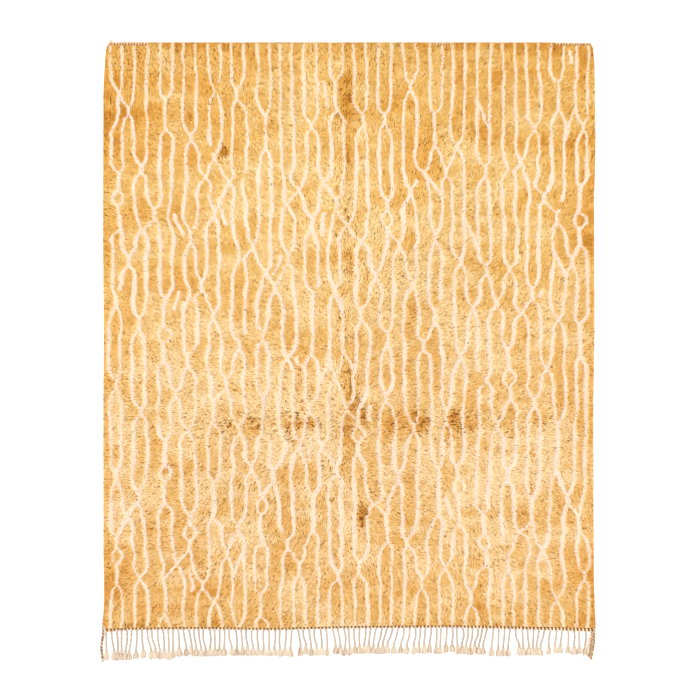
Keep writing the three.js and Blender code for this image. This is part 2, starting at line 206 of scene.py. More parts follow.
FIGURE_COLUMNS = 20
FIGURE_STEP = 0.0025
LINE_HALF = 0.0094
LINE_SOFT = 0.0025
LINE_FUZZ = 0.0019
OPEN_HALF = (0.023, 0.037)
CLOSE_RUN = (0.05, 0.095)
SHORT_STEM = (0.0, 0.06)
LONG_STEM = (0.12, 0.32)
RING_STEM = 0.18
SMALL_HALF = 0.028
SMALL_RUN = 0.045
EVENNESS = 0.22
RIM_ROUGH = 0.035
EVENING_TURNS = 2
MEETING_GAP = 0.045
DASHES = 14
BRANCHES = 12
BLOCK_LENGTH = (0.03, 0.34)
BLOCKS_DOWN = 60


def open_length(rng, x, y):
    """How long a lozenge stays open: longer to the right and toward the foot."""
    slow = soft_step((x + 0.7) / 1.4) * soft_step((1.4 - y) / 1.2)
    return rng.uniform(0.08, 0.34) + slow * rng.uniform(0, 0.36)


def lozenge_column(rng, home, rows, taken):
    """The two lines of one column, where each of them stops short, and where they meet."""
    half = (HALF_WIDTH / FIGURE_COLUMNS) / 2
    # Place along the rug, reach of the left line and of the right one from the middle
    turns = [(HALF_LENGTH + 0.05, half, half)]
    breaks, meetings = [], []
    y = HALF_LENGTH - rng.choice([rng.uniform(0.1, 0.3), rng.uniform(0.3, 0.65)])
    while y > -HALF_LENGTH - 0.4:
        run = rng.uniform(*CLOSE_RUN)
        if any(abs(y - run - other) < 0.09 for other in taken) and rng.random() < 0.8:
            y -= 0.05
            continue
        long_one = rng.random() < 0.12 + 0.3 * soft_step((0.5 - y) / 1.2)
        stem = rng.uniform(*(LONG_STEM if long_one else SHORT_STEM))
        shift = rng.uniform(-0.014, 0.014)
        new_left, new_right = rng.uniform(*OPEN_HALF), rng.uniform(*OPEN_HALF)
        met = (-shift, shift)
        turns += [(y, *turns[-1][1:]), (y - run, *met)]
        if stem > RING_STEM and rng.random() < 0.6:
            at = y - run - stem * rng.uniform(0.3, 0.6)
            ring = (at, SMALL_HALF, SMALL_HALF)
            turns += [(at + SMALL_RUN, *met), ring, (at - SMALL_RUN, *met)]
        turns += [(y - run - stem, *met), (y - 2 * run - stem, new_left, new_right)]
        if rng.random() < 0.16:
            stop = y - run * rng.uniform(0.2, 0.9)
            breaks.append((int(rng.integers(2)), stop, stop - rng.uniform(0.03, 0.07)))
        meetings.append(y - run - stem / 2)
        y -= 2 * run + stem + open_length(rng, home, y)
    turns.sort()
    middle = home + 0.03 * (noise(rows, home * 7, 0.42, 1) - 0.5)
    left = middle - along(turns, rows)
    right = middle + along(turns, rows, 2)
    return [left, right], breaks, meetings


def link(rng, one, two, rows):
    """Draws two neighbouring lines together here and there, as an X."""
    y = HALF_LENGTH - rng.uniform(0.25, 1.3)
    while y > -HALF_LENGTH + 0.1:
        run, stem = rng.uniform(*CLOSE_RUN), rng.uniform(0, 0.03)
        near = np.abs(rows - y) < run + stem + 0.03
        apart = (two - one)[near]
        if apart.min() > 0.03 and np.ptp(apart) < 0.035:
            pull = np.clip((run + stem - np.abs(rows - y)) / run, 0, 1)
            middle = (one + two) / 2
            one[:] = one + (middle - one) * pull
            two[:] = two + (middle - two) * pull
            y -= rng.uniform(0.5, 1.3)
        else:
            y -= 0.05


def evened(lines):
    """Moves each line toward the wider of its two gaps, and lines that meet together."""
    edge = np.full(lines[0].shape, HALF_WIDTH)
    stack = np.array(lines)
    for _ in range(EVENING_TURNS):
        gaps = np.diff(np.vstack([-edge, stack, edge]), axis=0)
        before = np.vstack([gaps[:1], gaps[:-2]])
        after = np.vstack([gaps[2:], gaps[-1:]])
        left_share = soft_step(gaps[:-1] / MEETING_GAP)
        right_share = soft_step(gaps[1:] / MEETING_GAP)
        left = left_share * gaps[:-1] + (1 - left_share) * before
        right = right_share * gaps[1:] + (1 - right_share) * after
        stack = stack + EVENNESS * np.clip(right - left, -0.06, 0.06) / 2
    return list(stack)


def branch(rng, lines, rows):
    """A slanting line from one column to the next."""
    run = rng.uniform(0.1, 0.2)
    for _ in range(40):
        k = rng.integers(len(lines) - 1)
        high = rng.uniform(-HALF_LENGTH + 0.3, HALF_LENGTH - 0.1)
        top, foot = rows.searchsorted(high), rows.searchsorted(high - run)
        ends = [lines[k][top], lines[k + 1][foot]]
        if rng.random() < 0.5:
            ends = [lines[k + 1][top], lines[k][foot]]
        if 0.055 < abs(ends[0] - ends[1]) < 0.11:
            break
    slant = np.interp(rows, [high - run, high], ends[::-1])
    slant[(rows < high - run) | (rows > high)] = np.nan
    return slant


def dash(rng, lines, rows):
    """A short free line in a wide gap between two others."""
    line = np.full(len(rows), np.nan)
    stack = np.array(lines)
    for _ in range(60):
        many = int(rng.uniform(0.035, 0.14) / FIGURE_STEP)
        first = rng.integers(0, len(rows) - many)
        part = slice(first, first + many)
        gaps = np.diff(stack[:, part], axis=0).min(axis=1)
        wide = np.flatnonzero(gaps > 0.07)
        if len(wide):
            k = rng.choice(wide)
            middle = (stack[k, part] + stack[k + 1, part]) / 2
            line[part] = middle + np.linspace(-1, 1, many) * rng.uniform(-0.009, 0.009)
            break
    return line


def figure_lines(rows):
    """Every cream line as its place across the rug at each row."""
    rng = draws(0)
    pitch = 2 * HALF_WIDTH / FIGURE_COLUMNS
    lines, breaks, taken = [], [], []
    for k in range(FIGURE_COLUMNS):
        home = -HALF_WIDTH + pitch * (k + 0.5) + rng.uniform(-0.006, 0.006)
        pair, stops, taken = lozenge_column(rng, home, rows, taken)
        lines += pair
        breaks += [(2 * k + side, high, low) for side, high, low in stops]
    for k in range(1, len(lines) - 1, 2):
        link(rng, lines[k], lines[k + 1], rows)
    columns = evened(lines)
    lines = [line.copy() for line in columns]
    more = [branch(rng, columns, rows) for _ in range(BRANCHES)]
    more += [dash(rng, columns, rows) for _ in range(DASHES)]
    for k, high, low in breaks:
        lines[k][(rows < high) & (rows > low)] = np.nan
    lines += more
    for k, line in enumerate(lines):
        line += 0.009 * (noise(rows, k * 3.1, 0.055, 2) - 0.5)
        line += 0.0045 * (noise(rows, k * 5.3, 0.016, 22) - 0.5)
    return lines, columns


def figure_field():
    """How far each place is from the edge of a cream line, less than 0 inside it, and the
    tone of the ground between the lines, which changes from block to block."""
    rng = draws(4)
    rows = np.arange(-HALF_LENGTH - 0.02, HALF_LENGTH + 0.02, FIGURE_STEP)
    across = np.arange(-HALF_WIDTH - 0.02, HALF_WIDTH + 0.02, FIGURE_STEP)
    far = np.full((len(rows), len(across)), 0.1)
    lines, columns = figure_lines(rows)
    for k, line in enumerate(lines):
        slope = np.gradient(line, FIGURE_STEP)
        lean = np.sqrt(1 + np.nan_to_num(slope) ** 2)
        half = LINE_HALF * (0.62 + 0.8 * noise(rows, k * 3.7, 0.08, 3)) / lean ** 0.9
        ends = 0.24 * soft_step((rows - 0.75) / 0.4) + 0.2 * soft_step((-0.95 - rows) / 0.3)
        half = half * (1 - ends - 0.14 * np.exp(-((rows + 0.43) / 0.1) ** 2))
        reach = np.abs(across[None, :] - line[:, None]) / lean[:, None] - half[:, None]
        far = np.fmin(far, reach)
    cell = np.zeros(far.shape, int)
    for line in columns:
        cell += across[None, :] > line[:, None]
    blocks = np.empty((len(columns) + 1, len(rows)))
    for k in range(len(blocks)):
        edges = -HALF_LENGTH - 0.1 + np.cumsum(rng.uniform(*BLOCK_LENGTH, BLOCKS_DOWN))
        tones = rng.uniform(-1, 1, BLOCKS_DOWN + 1)
        which = np.searchsorted(edges, rows)
        blocks[k] = np.convolve(tones[which], np.full(7, 1 / 7), "same")
    tone = blocks[cell, np.arange(len(rows))[:, None]]
    return rows, across, far, tone


ROWS, ACROSS, FAR, BLOCKS = figure_field()


def on_figure(field, x, y):
    i = np.clip(np.rint((y - ROWS[0]) / FIGURE_STEP).astype(int), 0, len(ROWS) - 1)
    j = np.clip(np.rint((x - ACROSS[0]) / FIGURE_STEP).astype(int), 0, len(ACROSS) - 1)
    return field[i, j]


# The three tables below have the columns x, y, half width, half length and strength

# Darker places of the ground, or paler ones where the strength is below 0
DARK_PATCHES = [
    (0.73, 1.02, 0.27, 0.08, 0.75), (0.61, 0.57, 0.07, 0.05, 0.5), (0.61, 0.21, 0.07, 0.03, 0.45),
    (0.66, -1.33, 0.02, 0.08, 1), (0, -0.45, 0.7, 0.07, 0.3), (0.99, -0.45, 0.05, 0.06, 0.4),
    (-0.02, 1.2, 0.05, 0.2, 0.3), (0.2, 1.38, 0.07, 0.08, 0.2), (0.18, 0.4, 0.2, 0.4, -0.35),
    (-0.95, -1.25, 0.35, 0.3, 0.25), (1.1, -1.3, 0.15, 0.2, 0.2),
]

# Where the wool is matted and rusty, and has more painted shadow in its partings
MATTED = [
    (-0.5, -0.455, 0.05, 0.045, 0.7), (-0.615, -0.45, 0.04, 0.035, 0.4),
    (-0.285, -0.49, 0.05, 0.09, 0.7), (-0.2, -0.44, 0.055, 0.035, 1),
    (-0.03, -0.49, 0.05, 0.06, 0.7), (0.027, -0.335, 0.04, 0.075, 1),
    (0.06, -0.41, 0.028, 0.04, 0.9), (0.36, -0.43, 0.05, 0.08, 0.7), (0.53, -0.45, 0.05, 0.07, 0.9),
    (0.62, -0.48, 0.03, 0.04, 0.4), (0.975, -0.45, 0.05, 0.05, 0.5), (0.21, -0.45, 0.03, 0.05, 0.4),
    (0.075, -0.915, 0.028, 0.05, 1.1), (-0.636, 0.945, 0.022, 0.028, 1.1),
    (-0.005, 1.21, 0.03, 0.07, 0.5), (-0.01, 0.6, 0.035, 0.12, 0.35), (-0.03, 0.1, 0.03, 0.1, 0.45),
    (0.05, -0.02, 0.03, 0.05, 0.5), (-0.04, -0.66, 0.03, 0.06, 0.4), (0.15, 1.4, 0.04, 0.05, 0.4),
    (-0.01, 0.92, 0.02, 0.1, 0.5), (0.005, 0.36, 0.022, 0.1, 0.5), (0.01, -0.2, 0.022, 0.06, 0.6),
]

# Where the pile is crushed and parted
CRUSHED = [
    (-0.01, 1.2, 0.07, 0.25, 1), (-0.01, 0.5, 0.06, 0.5, 0.8), (-0.01, -0.1, 0.06, 0.3, 0.9),
    (0.19, 1.4, 0.05, 0.1, 0.7), (-0.1, -0.44, 0.75, 0.1, 1), (0.8, -0.44, 0.4, 0.06, 0.7),
    (-0.75, -0.42, 0.3, 0.05, 0.5), (0.75, 1.03, 0.5, 0.06, 0.5), (0.07, -0.9, 0.035, 0.09, 1),
    (-0.05, -0.6, 0.1, 0.25, 0.7), (-0.63, 0.92, 0.03, 0.045, 1), (-0.9, 0.6, 0.25, 0.04, 0.45),
    (-0.25, -0.25, 0.3, 0.12, 0.5), (0, -0.9, 1.2, 0.5, 0.25), (0, 1.47, 1.25, 0.03, 0.4),
    (-0.6, 1.2, 0.6, 0.25, 0.25), (0.5, 0.4, 0.5, 0.5, 0.2), (-1.05, 1.43, 0.3, 0.12, 0.9),
]


def spots(table, x, y):
    """The strength of each row of a table, and how far off it each place is, squared."""
    for px, py, wide, long, strength in table:
        yield strength, ((x - px) / wide) ** 2 + ((y - py) / long) ** 2


def crushed(x, y):
    """0 where the pile lies well to 1 where it is crushed."""
    most = np.zeros(np.shape(x))
    for strength, away in spots(CRUSHED, x, y):
        most = np.maximum(most, strength * np.exp(-away * away))
    return most


def nap_angle(x, y):
    """The way the pile leans, in radians anticlockwise from +X: outward from the two creases."""
    across = 0.62 * np.tanh((x + 0.01) / 0.25)
    along_rug = np.tanh((y + 0.42) / 0.9)
    swirl = 65 * (noise(x, y, 0.3, 11) - 0.5) + 40 * (noise(x, y, 0.07, 12) - 0.5)
    return np.arctan2(along_rug, across) + np.radians(swirl)


STREAK_STEPS = 2


def grain_field():
    """Streaks of the wool on the figure's grid, with mean 0 and spread 1, that run with the nap."""
    x, y = np.meshgrid(ACROSS, ROWS)
    specks = draws(18).normal(size=x.shape)
    angle = nap_angle(x, y)
    streaks = np.zeros(x.shape)
    for step in range(-STREAK_STEPS, STREAK_STEPS + 1):
        away = step * FIGURE_STEP
        weight = np.cos(0.5 * np.pi * step / (STREAK_STEPS + 1)) ** 2
        streaks += weight * on_figure(specks, x + away * np.cos(angle), y + away * np.sin(angle))
    return (streaks - streaks.mean()) / streaks.std()


GRAIN = grain_field()


def matted(x, y):
    """0 to 1 in the patches where the wool is matted, with rough edges."""
    most = np.zeros(np.shape(x))
    for strength, away in spots(MATTED, x, y):
        most = np.maximum(most, strength * np.exp(-away))
    rough = noise(x, y, 0.03, 19) + 0.7 * noise(x, y, 0.014, 20) - 0.85
    return np.clip(soft_step(1.25 * most + 0.5 * rough * (most > 0.1) - 0.1), 0, 1)


def loosened(x, y):
    """0 to 1 where the pile is crushed or near the rim."""
    return np.clip(crushed(x, y) + 0.8 * near_rim(x, y), 0, 1)


def parting_shade(x, y):
    """0 to 1 in the darkest streaks of the grain, which are painted shade where the pile parts,
    with more of them where it is matted.
    """
    grain = on_figure(GRAIN, x, y)
    return soft_step((-grain - 1.1 + 0.5 * matted(x, y) + 0.35 * loosened(x, y)) / 0.9)


def shadow_lock_share(x, y):
    """The share of locks painted dark brown as the shadow in the pile's partings, mostly in the
    darkest streaks.
    """
    clusters = (0.008 + 0.03 * loosened(x, y)) * (0.25 + 2.4 * noise(x, y, 0.035, 23) ** 2)
    fleck = parting_shade(x, y)
    return clusters * (0.05 + 7 * fleck) + 0.4 * matted(x, y) * (0.25 + 1.2 * fleck)


def wool_shade(x, y):
    """How light the wool is, from its grain: mostly even, with dark streaks of painted shade in the
    partings, more where it is matted.
    """
    grain = on_figure(GRAIN, x, y)
    return np.exp(0.05 * np.clip(grain, -1.5, 1.5)) * (1 - 0.7 * parting_shade(x, y))


def ground_tone(x, y):
    """0 for the palest honey of the middle to 1 for the deepest ochre."""
    side = np.minimum(x + HALF_WIDTH, HALF_WIDTH - x)
    rim = 0.26 * np.exp(-side / 0.08) + 0.3 * np.exp(-from_end(y) / 0.07)
    upper = 0.24 * soft_step((y + 0.1) / 1.5)
    foot = 0.08 * soft_step((-0.8 - y) / 0.6) * (1 + 1.4 * x**2)
    corner = 0.3 * soft_step((-x - 0.5) / 0.8) * soft_step((y - 0.4) / 0.8)
    broad = 0.42 * (noise(x, y, 0.3, 5) - 0.5) + 0.4 * (noise(x, y, 0.1, 6) - 0.5)
    bands = 0.4 * (noise(x / 7, y, 0.045, 8) - 0.5)
    small = 0.4 * (noise(x, y, 0.03, 7) - 0.5)
    blocks = (0.14 + 0.2 * crushed(x, y)) * on_figure(BLOCKS, x, y)
    tone = 0.19 + rim + upper + foot + corner + broad + bands + small + blocks + 0.6 * matted(x, y)
    for strength, away in spots(DARK_PATCHES, x, y):
        tone = tone + strength * 0.5 * np.exp(-away)
    return np.clip(tone, 0, 1.3)


def ground_colour(x, y):
    """The wool between the lines, yellower at the closed end and rosier toward the foot."""
    tone = ground_tone(x, y)
    pale = mixed(PALE_HONEY, HONEY, np.clip(tone / 0.4, 0, 1))
    deep = mixed(OCHRE, DEEP_OCHRE, np.clip((tone - 0.8) / 0.5, 0, 1))
    tint = mixed(ROSY, GOLDEN, soft_step((y + 0.9) / 1.8))
    dim = 1 - 0.1 * np.exp(-np.clip(HALF_LENGTH - abs(y), 0, 1) / 0.04)
    return mixed(pale, deep, soft_step((tone - 0.25) / 0.75)) * tint * dim[..., None]


def near_rim(x, y):
    """0 over the field to 1 at its rim, where the pile is rougher and deeper in colour."""
    side = np.minimum(x - left_side(y), right_side(y) - x)
    return np.exp(-np.clip(np.minimum(side, from_end(y)), 0, 1) / RIM_ROUGH)


def wool_colour(x, y, fuzz=0.0):
    """The wool's colour where a knot is tied."""
    cream = soft_step(0.5 - (on_figure(FAR, x, y) + fuzz) / LINE_SOFT)
    ends = 0.35 * soft_step((y - 1.15) / 0.3) + 0.25 * soft_step((-1.25 - y) / 0.2)
    worn = np.clip(near_rim(x, y) + 0.4 * crushed(x, y) + ends, 0, 1)
    tint = mixed(CREAM, RIM_CREAM, worn)
    tint = tint * (0.94 + 0.08 * noise(x, y, 0.05, 9))[..., None]
    return ground_colour(x, y) * (1 - cream[..., None]) + tint * cream[..., None]


# Meshes

def unit(vectors):
    return vectors / np.linalg.norm(vectors, axis=-1, keepdims=True)


def linked(name, data):
    """An object of the scene with this data."""
    obj = bpy.data.objects.new(name, data)
    bpy.context.scene.collection.objects.link(obj)
    return obj


def piece(name, points, triangles, colours, material, slot, normals=None, lift=0.0):
    """A mesh object from arrays, with one colour a point, that rides on the rug's body. lift
    turns the shading of thin fibres upward, so that they look soft."""
    points = np.asarray(points, np.float32)
    triangles = np.asarray(triangles, np.int32)
    mesh = bpy.data.meshes.new(name)
    mesh.vertices.add(len(points))
    mesh.vertices.foreach_set("co", points.ravel())
    mesh.loops.add(triangles.size)
    mesh.loops.foreach_set("vertex_index", triangles.ravel())
    mesh.polygons.add(len(triangles))
    mesh.polygons.foreach_set("loop_start", np.arange(0, triangles.size, 3, dtype=np.int32))
    mesh.update(calc_edges=True)
    mesh.polygons.foreach_set("use_smooth", np.ones(len(triangles), bool))
    if lift:
        normals = np.empty(3 * len(points), np.float32)
        mesh.vertex_normals.foreach_get("vector", normals)
        normals = normals.reshape(-1, 3)
        normals[:, 2] += lift * (normals[:, 2] > -0.3)
        normals = unit(normals)
    if normals is not None:
        shading = mesh.attributes.new("custom_normal", "FLOAT_VECTOR", "POINT")
        shading.data.foreach_set("vector", np.asarray(normals, np.float32).ravel())
    paint = mesh.color_attributes.new("wool", "FLOAT_COLOR", "POINT")
    rgba = np.ones((len(points), 4), np.float32)
    rgba[:, :3] = colours
    paint.data.foreach_set("color", rgba.ravel())
    mesh.materials.append(material)
    obj = linked(name, mesh)
    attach(obj, "root")
    return obj


class Parts:
    """Gathers many small shapes into the arrays of one mesh."""

    def __init__(self):
        self.points, self.triangles, self.colours, self.count = [], [], [], 0

    def add(self, points, triangles, colours):
        points = np.asarray(points, float).reshape(-1, 3)
        self.points.append(points)
        self.triangles.append(np.asarray(triangles).reshape(-1, 3) + self.count)
        self.colours.append(np.broadcast_to(colours, points.shape))
        self.count += len(points)

    def sleeve(self, rings, colours):
        self.add(rings, sleeve_faces(*rings.shape[:2])[:, ::-1], colours)

    def piece(self, name, material, slot, lift=0.0):
        arrays = (np.concatenate(a) for a in (self.points, self.triangles, self.colours))
        return piece(name, *arrays, material, slot, lift=lift)


def wall_faces(rings, sides, start=0):
    """Triangles between rings of points, of which the first begins at the point start."""
    k = np.arange(sides)
    low = start + np.arange(rings - 1)[:, None] * sides
    high = low + sides
    after = (k + 1) % sides
    walls = np.stack([low + k, low + after, high + after, low + k, high + after, high + k], -1)
    return walls.reshape(-1, 3)


def sleeve_faces(rings, sides):
    """Triangles of a closed sleeve of rings with a cap at each end."""
    k = np.arange(sides)
    first = np.stack([np.zeros(sides - 2, int), k[2:], k[1:-1]], -1)
    last = np.stack([np.zeros(sides - 2, int), k[1:-1], k[2:]], -1) + (rings - 1) * sides
    return np.concatenate([wall_faces(rings, sides), first, last])


def smooth_path(points, steps):
    """A curve through the points, even in its parameter."""
    points = np.asarray(points, float)
    padded = np.concatenate([[2 * points[0] - points[1]], points, [2 * points[-1] - points[-2]]])
    t = np.linspace(0, len(points) - 1, steps)
    k = np.minimum(t.astype(int), len(points) - 2)
    f = (t - k)[:, None]
    a, b, c, d = padded[k], padded[k + 1], padded[k + 2], padded[k + 3]
    return 0.5 * (2 * b + (c - a) * f + (2 * a - 5 * b + 4 * c - d) * f**2
                  + (3 * b - a - 3 * c + d) * f**3)


def path_frames(path):
    """Unit sideways and upward directions at each point of a nearly level path."""
    ahead = unit(np.gradient(path, axis=0))
    side = unit(np.cross(ahead, [0, 0, 1.0]))
    return side, np.cross(side, ahead)


def angles_round(sides):
    return 2 * np.pi * np.arange(sides) / sides


def ring_of(angle, side, up):
    """Offsets of length 1 round each point of a path, one at each angle."""
    return (np.cos(angle)[None, :, None] * side[:, None, :]
            + np.sin(angle)[None, :, None] * up[:, None, :])


def path_length(path):
    steps = np.linalg.norm(np.diff(path, axis=0), axis=1)
    return np.concatenate([[0], np.cumsum(steps)])


def twisted_cord(parts, path, radius, pitch, colours, sides=8, lobes=2, depth=0.22):
    """A cord whose section has lobes and turns once a pitch, with a colour for each half and
    painted shade in the grooves between the lobes.
    """
    side, up = path_frames(path)
    turn = 2 * np.pi * path_length(path) / pitch
    angle = angles_round(sides)
    ply = lobes * angle[None, :] - lobes * turn[:, None]
    radius = np.broadcast_to(radius, len(path))
    size = radius[:, None] * (1 - depth + depth * np.cos(ply))
    points = path[:, None, :] + size[..., None] * ring_of(angle, side, up)
    # painted shade: darker in the grooves between the lobes
    shade = 0.75 + 0.25 * (np.cos(ply) + 1) / 2
    which = (np.cos(angle[None, :] - turn[:, None]) > 0).astype(int)
    tint = np.asarray(colours)[which] * shade[..., None]
    parts.sleeve(points, tint.reshape(-1, 3))


PLY_OUT = 0.42
PLY_RADIUS = 0.62
TONE_RINGS = 3


def plied_cord(parts, path, radius, pitch, colours, sides=4):
    """Two round plies that wind about each other along a path, uneven in tone."""
    side, up = path_frames(path)
    turn = 2 * np.pi * path_length(path) / pitch
    radius = np.broadcast_to(radius, len(path))
    angle = angles_round(sides)
    tones = np.random.default_rng(len(path)).uniform(0.6, 1.25, len(path))
    tones = tones.repeat(TONE_RINGS)[:len(path)]
    for start, colour in zip((0, np.pi), colours):
        out = np.cos(turn + start)[:, None] * side + np.sin(turn + start)[:, None] * up
        middle = path + out * (PLY_OUT * radius)[:, None]
        ring = (PLY_RADIUS * radius)[:, None, None] * ring_of(angle, side, up)
        parts.sleeve(middle[:, None, :] + ring, colour * np.repeat(tones, sides)[:, None])


# Materials

ROUGHNESS = 0.9
SHEEN = {"Sheen Weight": 0.02, "Sheen Roughness": 0.5, "Specular IOR Level": 0.1}
FIBRE_RELIEF = 0.001


def shaded(name, values):
    """A new material, and its shader with these values."""
    material = bpy.data.materials.new(name)
    material.use_nodes = True
    shader = material.node_tree.nodes["Principled BSDF"]
    shader.inputs["Roughness"].default_value = ROUGHNESS
    for key, value in values.items():
        shader.inputs[key].default_value = value
    return material, shader


def wool(name, grain=900, bump=0.3, mottle=0.08):
    """Matt wool: the painted colour with a fine fibre mottle, a low bump and a little sheen."""
    material, shader = shaded(name, SHEEN)
    nodes, links = material.node_tree.nodes, material.node_tree.links
    paint = nodes.new("ShaderNodeAttribute")
    paint.attribute_name = "wool"
    place = nodes.new("ShaderNodeTexCoord")
    fibre = nodes.new("ShaderNodeTexNoise")
    fibre.inputs["Scale"].default_value = grain
    fibre.inputs["Detail"].default_value = 2
    links.new(place.outputs["Object"], fibre.inputs["Vector"])
    span = nodes.new("ShaderNodeMapRange")
    span.inputs["To Min"].default_value = 1 - mottle
    span.inputs["To Max"].default_value = 1 + mottle
    links.new(fibre.outputs["Fac"], span.inputs["Value"])
    tint = nodes.new("ShaderNodeVectorMath")
    tint.operation = "SCALE"
    links.new(paint.outputs["Color"], tint.inputs[0])
    links.new(span.outputs["Result"], tint.inputs["Scale"])
    links.new(tint.outputs["Vector"], shader.inputs["Base Color"])
    relief = nodes.new("ShaderNodeBump")
    relief.inputs["Strength"].default_value = bump
    relief.inputs["Distance"].default_value = FIBRE_RELIEF
    links.new(fibre.outputs["Fac"], relief.inputs["Height"])
    links.new(relief.outputs["Normal"], shader.inputs["Normal"])
    return material


PILE_WOOL = wool("pile_wool")
CLOTH_WOOL = wool("cloth_wool", grain=500, bump=0.6)
WARP_WOOL = wool("warp_wool", grain=1400, bump=0.5)
TWINE_WOOL = wool("twine_wool", grain=1400, bump=0.5, mottle=0.1)


# The ground cloth and the bed of the pile

def field_place(u, v, inset=0.0):
    """A place of the unit square on the field as it lies, inside its walls."""
    row = -HALF_LENGTH + 2 * HALF_LENGTH * v
    left = left_side(row) + LOCK_REACH + inset
    right = right_side(row) - LOCK_REACH - inset
    across = left + (right - left) * u
    foot = band_head(-HALF_WIDTH + 2 * HALF_WIDTH * u) + GAP + inset
    top = UPPER_BAND_FOOT - GAP - inset - BARE_PILE * bare(across)
    return across, foot + (top - foot) * v


def slab(cells_across, cells_up, low, high, inset=0.0):
    """A closed slab over the field, from a low to a high surface, as points and triangles."""
    u, v = np.meshgrid(np.linspace(0, 1, cells_across + 1), np.linspace(0, 1, cells_up + 1))
    x, y = field_place(u, v, inset)
    top = np.stack([x, y, high(x, y)], -1).reshape(-1, 3)
    bottom = np.stack([x, y, low(x, y)], -1).reshape(-1, 3)
    wide, count = cells_across + 1, len(top)
    i, j = np.meshgrid(np.arange(cells_across), np.arange(cells_up))
    a = (j * wide + i).ravel()
    b, c, d = a + 1, a + wide + 1, a + wide
    upper = np.concatenate([np.stack([a, b, c], -1), np.stack([a, c, d], -1)])
    lower = upper[:, ::-1] + count
    foot = np.arange(wide)
    right = np.arange(cells_up + 1) * wide + cells_across
    head = cells_up * wide + np.arange(wide)[::-1]
    left = (np.arange(cells_up + 1) * wide)[::-1]
    rim = np.concatenate([foot[:-1], right[:-1], head[:-1], left[:-1]])
    after = np.roll(rim, -1)
    walls = np.concatenate([
        np.stack([rim + count, after + count, after], -1),
        np.stack([rim + count, after, rim], -1),
    ])
    return np.concatenate([top, bottom]), np.concatenate([upper, lower, walls])


def ground_cloth():
    """The woven cloth that holds the knots, whose back shows the figure faintly."""
    points, triangles = slab(
        100, 120, lambda x, y: np.zeros_like(x), lambda x, y: np.full_like(x, CLOTH_THICK),
    )
    colours = 0.82 * wool_colour(points[:, 0], points[:, 1]) + 0.1 * WARP_CREAM
    return piece("ground_cloth", points, triangles, colours, CLOTH_WOOL, "pile")


def pile_bed():
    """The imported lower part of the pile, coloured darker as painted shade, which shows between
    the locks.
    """
    points, triangles = slab(
        60, 72, lambda x, y: np.full_like(x, CLOTH_THICK + GAP),
        lambda x, y: pile_height(x, y) - BED_DEPTH, 0.001,
    )
    # painted shade: the bed's colour is the ground's, darkened
    colours = BED_PAINTED_SHADE * ground_colour(points[:, 0], points[:, 1])
    return piece("pile_bed", points, triangles, colours, PILE_WOOL, "pile")


# The locks of the pile

LOCK_PITCH = 0.0047
LOCK_WIDE = 0.0038
LOCK_RISE = 0.008
# Painted shade on each lock, at its root, crest, tip and crest: darker at the root, and one side of
# the crest lighter and the other darker
LOCK_SHADES = np.array([0.84, 0.98, 1.0, 0.98])
LOCK_SIDE_SHADE = np.array([0, 0.18, 0, -0.18])
DEEPENING = np.array([0.52, 1.0, 2.1])
LOCK_LONG = (0.01, 0.019)
CLUMP_RELIEF = 0.002
GRAIN_RELIEF = 0.0008
# How far the locks painted as parting shadow are raised, so that they show
SHADOW_LOCK_LIFT = 0.0018
RIM_FALL = 0.0065
RIM_SHOULDER = 0.03
PANELS = 4


def lock_roots(rng):
    """Jittered places of every lock over the field."""
    columns = int(2 * HALF_WIDTH / LOCK_PITCH)
    rows = int(2 * HALF_LENGTH / LOCK_PITCH)
    u, v = np.meshgrid((np.arange(columns) + 0.5) / columns, (np.arange(rows) + 0.5) / rows)
    u = u + (np.arange(rows)[:, None] % 2 - 0.5) * 0.5 / columns
    u = u + rng.uniform(-0.42, 0.42, u.shape) / columns
    v = v + rng.uniform(-0.42, 0.42, v.shape) / rows
    return field_place(np.clip(u, 0.001, 0.999).ravel(), np.clip(v, 0.001, 0.999).ravel())


def rim_fall(x, y):
    """How far the pile's top drops toward the rim."""
    across = np.minimum(x - left_side(y), right_side(y) - x)
    along_field = np.minimum(UPPER_BAND_FOOT - y, y - band_head(x))
    near = np.clip(1 - np.minimum(across, along_field + LOCK_REACH) / RIM_SHOULDER, 0, 1)
    return RIM_FALL * near * near


# Where the upper twining shows past the pile, from x to x, and how far the pile draws back
BARE_TWINING = [(-1.25, -1.01), (0.41, 0.54), (1.05, 1.25)]
BARE_FOOT = 0.009
BARE_PILE = 0.01


def bare(x):
    """1 where the upper twining shows, 0 where the pile hangs over it."""
    most = np.zeros(np.shape(x))
    for low, high in BARE_TWINING:
        most = np.maximum(most, soft_step((x - low) / 0.02) * soft_step((high - x) / 0.02))
    return most


def kept_in(x, y):
    """Places moved back over the field, so that no lock hangs past its sides or bands."""
    y = np.clip(y, band_head(x) + GAP, UPPER_BAND_FOOT - BARE_FOOT * bare(x))
    return np.clip(x, left_side(y) - 0.0005, right_side(y) + 0.0005), y


def lock_mesh(name, root, crest, tip, ahead, wide, round_share, colours):
    """Folded leaf-shaped locks: each runs from its root over its crest to its tip."""
    many = len(root)
    aside = np.stack([-ahead[:, 1], ahead[:, 0], np.zeros(many)], -1)
    up = np.array([0, 0, 1.0])
    half = aside * (wide / 2)[:, None]
    points = np.stack([root, crest - half, tip, crest + half], 1)
    tilt = np.random.default_rng(many).normal(0, 0.1, (many, 1)) * round_share[:, None]
    sideways = 0.4 * aside * round_share[:, None]
    normals = np.stack([
        0.95 * up - 0.2 * ahead, 0.9 * up - sideways, 0.95 * up + 0.2 * ahead, 0.9 * up + sideways,
    ], 1) + (tilt * aside)[:, None, :]
    normals = unit(normals)
    corner = np.arange(many)[:, None, None] * 4
    triangles = corner + np.array([[0, 1, 3], [1, 2, 3]])
    return piece(
        name, points.reshape(-1, 3), triangles.reshape(-1, 3), colours.reshape(-1, 3),
        PILE_WOOL, "pile", normals.reshape(-1, 3),
    )


